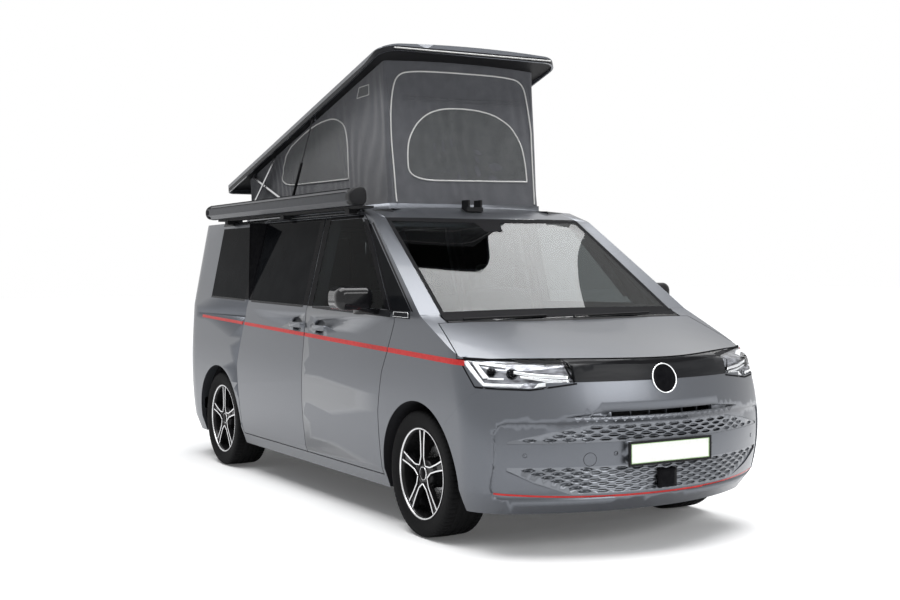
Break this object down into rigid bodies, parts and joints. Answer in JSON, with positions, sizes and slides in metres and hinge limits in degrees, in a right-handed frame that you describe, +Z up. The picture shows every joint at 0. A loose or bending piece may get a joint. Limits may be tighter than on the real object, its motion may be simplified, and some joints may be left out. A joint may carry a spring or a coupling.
{
  "type": "camper van",
  "caption": "Compact camper van with side-hung front doors, lifting tailgate and bonnet, steered wheels, side awning case and a raised pop-top roof with canvas.",
  "frame": {"origin": "on the ground, midway between nose and tail on the centre plane", "axes": "+X towards the nose, +Y towards the vehicle's left, +Z up"},
  "size_m": [5.1715, 2.414, 2.8919],
  "materials": {
    "body_paint": "mid grey metallic paint",
    "underbody_paint": "satin black coating",
    "plate": "white, blank",
    "trim_black": "matt",
    "gloss_black": "gloss",
    "lamp_glass": "clear lens over bright reflector",
    "clear_glass": "lightly tinted",
    "privacy_glass": "dark privacy tint",
    "tail_lamp": "red lens",
    "awning_case": "dark grey anodised case",
    "interior_plastic": "grained",
    "seat_cloth": "woven",
    "cabinet": "laminate",
    "chassis_steel": "satin",
    "canvas": "dark charcoal cloth with light grey piping",
    "bright_steel": "satin",
    "tyre": "matt",
    "rim_alloy": "diamond-cut faces, black pockets"
  },
  "bodies": {
    "van_body": {"underbody": "underbody_paint", "side_panel_right": "body_paint", "side_panel_left": "body_paint", "roof_panel": "body_paint", "front_wings": "body_paint", "front_bumper": "body_paint", "number_plate": "plate", "bumper_grille": "body_paint", "upper_grille": "gloss_black", "headlamps": "lamp_glass", "windscreen": "clear_glass", "side_glass": "privacy_glass", "rear_bumper": "body_paint", "tail_lamps": "tail_lamp", "sliding_door_right": "body_paint", "sliding_door_left": "body_paint", "awning": "awning_case", "awning_rail": "trim_black", "cowl_panel": "trim_black", "wipers": "trim_black", "roof_catch": "trim_black", "dashboard": "interior_plastic", "front_seats": "seat_cloth", "rear_bench": "seat_cloth", "kitchen_unit": "cabinet", "rear_axle_beam": "chassis_steel", "front_subframe": "chassis_steel", "engine_block": "chassis_steel", "tent": "canvas"},
    "bonnet": {"bonnet": "body_paint"},
    "front_door_right": {"front_door_right": "body_paint", "door_glass_right": "clear_glass", "mirror_right": "gloss_black"},
    "front_door_left": {"front_door_left": "body_paint", "door_glass_left": "clear_glass", "mirror_left": "gloss_black"},
    "tailgate": {"tailgate": "body_paint", "tailgate_glass": "privacy_glass"},
    "knuckle_right": {"knuckle_right": "chassis_steel"},
    "knuckle_left": {"knuckle_left": "chassis_steel"},
    "steering_wheel": {"steering_wheel": "interior_plastic"},
    "lift_arms": {"lift_arms": "bright_steel"},
    "brace_arms": {"brace_arms": "bright_steel"},
    "strut_cylinders": {"strut_cylinders": "trim_black"},
    "strut_rods": {"strut_rods": "bright_steel"},
    "roof_lid": {"roof_lid": "body_paint"},
    "wheel_front_right": {"tyre_front_right": "tyre", "rim_front_right": "rim_alloy"},
    "wheel_front_left": {"tyre_front_left": "tyre", "rim_front_left": "rim_alloy"},
    "wheel_rear_right": {"tyre_rear_right": "tyre", "rim_rear_right": "rim_alloy"},
    "wheel_rear_left": {"tyre_rear_left": "tyre", "rim_rear_left": "rim_alloy"}
  },
  "joints": [
    {"name": "steer_right", "type": "hinge", "parent": "van_body", "child": "knuckle_right", "pos_m": [1.5865, -0.74, 0.3515], "axis": [0, 0, 1], "range_deg": [-35, 35]},
    {"name": "steer_left", "type": "hinge", "parent": "van_body", "child": "knuckle_left", "pos_m": [1.5865, 0.74, 0.3515], "axis": [0, 0, 1], "range_deg": [-35, 35]},
    {"name": "front_wheel_right", "type": "hinge", "parent": "knuckle_right", "child": "wheel_front_right", "pos_m": [1.5865, -0.816, 0.3515], "axis": [0, 1, 0], "continuous": true},
    {"name": "rear_wheel_right", "type": "hinge", "parent": "van_body", "child": "wheel_rear_right", "pos_m": [-1.5375, -0.816, 0.3515], "axis": [0, 1, 0], "continuous": true},
    {"name": "front_wheel_left", "type": "hinge", "parent": "knuckle_left", "child": "wheel_front_left", "pos_m": [1.5865, 0.816, 0.3515], "axis": [0, 1, 0], "continuous": true},
    {"name": "rear_wheel_left", "type": "hinge", "parent": "van_body", "child": "wheel_rear_left", "pos_m": [-1.5375, 0.816, 0.3515], "axis": [0, 1, 0], "continuous": true},
    {"name": "steering_wheel_turn", "type": "hinge", "parent": "van_body", "child": "steering_wheel", "pos_m": [1.0265, 0.4, 1.027], "axis": [-0.9272, 0, 0.3746], "range_deg": [-526, 526]},
    {"name": "front_door_right_swing", "type": "hinge", "parent": "van_body", "child": "front_door_right", "pos_m": [1.1505, -0.971, 1], "axis": [0, 0, 1], "range_deg": [0, 65]},
    {"name": "front_door_left_swing", "type": "hinge", "parent": "van_body", "child": "front_door_left", "pos_m": [1.1505, 0.971, 1], "axis": [0, 0, -1], "range_deg": [0, 65]},
    {"name": "tailgate_lift", "type": "hinge", "parent": "van_body", "child": "tailgate", "pos_m": [-2.3785, 0, 1.875], "axis": [0, 1, 0], "range_deg": [0, 85]},
    {"name": "bonnet_lift", "type": "hinge", "parent": "van_body", "child": "bonnet", "pos_m": [1.6465, 0, 1.17], "axis": [0, -1, 0], "range_deg": [0, 50]},
    {"name": "lift_arm_fold", "type": "hinge", "parent": "van_body", "child": "lift_arms", "pos_m": [-0.9285, 0, 1.912], "axis": [0, -1, 0], "range_deg": [0, 19.01], "deforming": ["tent"]},
    {"name": "lid_tilt", "type": "hinge", "parent": "lift_arms", "child": "roof_lid", "pos_m": [-1.7335, 0, 2.18933], "axis": [0, 1, 0], "range_deg": [0, 33.8]},
    {"name": "brace_fold", "type": "hinge", "parent": "van_body", "child": "brace_arms", "pos_m": [-1.7935, 0, 1.912], "axis": [0, 1, 0], "range_deg": [0, 35.66]},
    {"name": "strut_fold", "type": "hinge", "parent": "van_body", "child": "strut_cylinders", "pos_m": [-0.9085, 0, 1.912], "axis": [0, 1, 0], "range_deg": [0, 55.54]},
    {"name": "strut_stroke", "type": "slide", "parent": "strut_cylinders", "child": "strut_rods", "axis": [-0.5661, 0, -0.8243], "range_m": [0, 0.32251]}
  ],
  "couplings": [
    {"joint": "steer_left", "follows": "steer_right", "ratio": 1},
    {"joint": "steering_wheel_turn", "follows": "steer_right", "ratio": 15},
    {"joint": "lid_tilt", "follows": "lift_arm_fold", "ratio": 1.7771},
    {"joint": "brace_fold", "follows": "lift_arm_fold", "ratio": 1.8748},
    {"joint": "strut_fold", "follows": "lift_arm_fold", "ratio": 2.9207},
    {"joint": "strut_stroke", "follows": "lift_arm_fold", "m_per_rad": 0.97088}
  ]
}
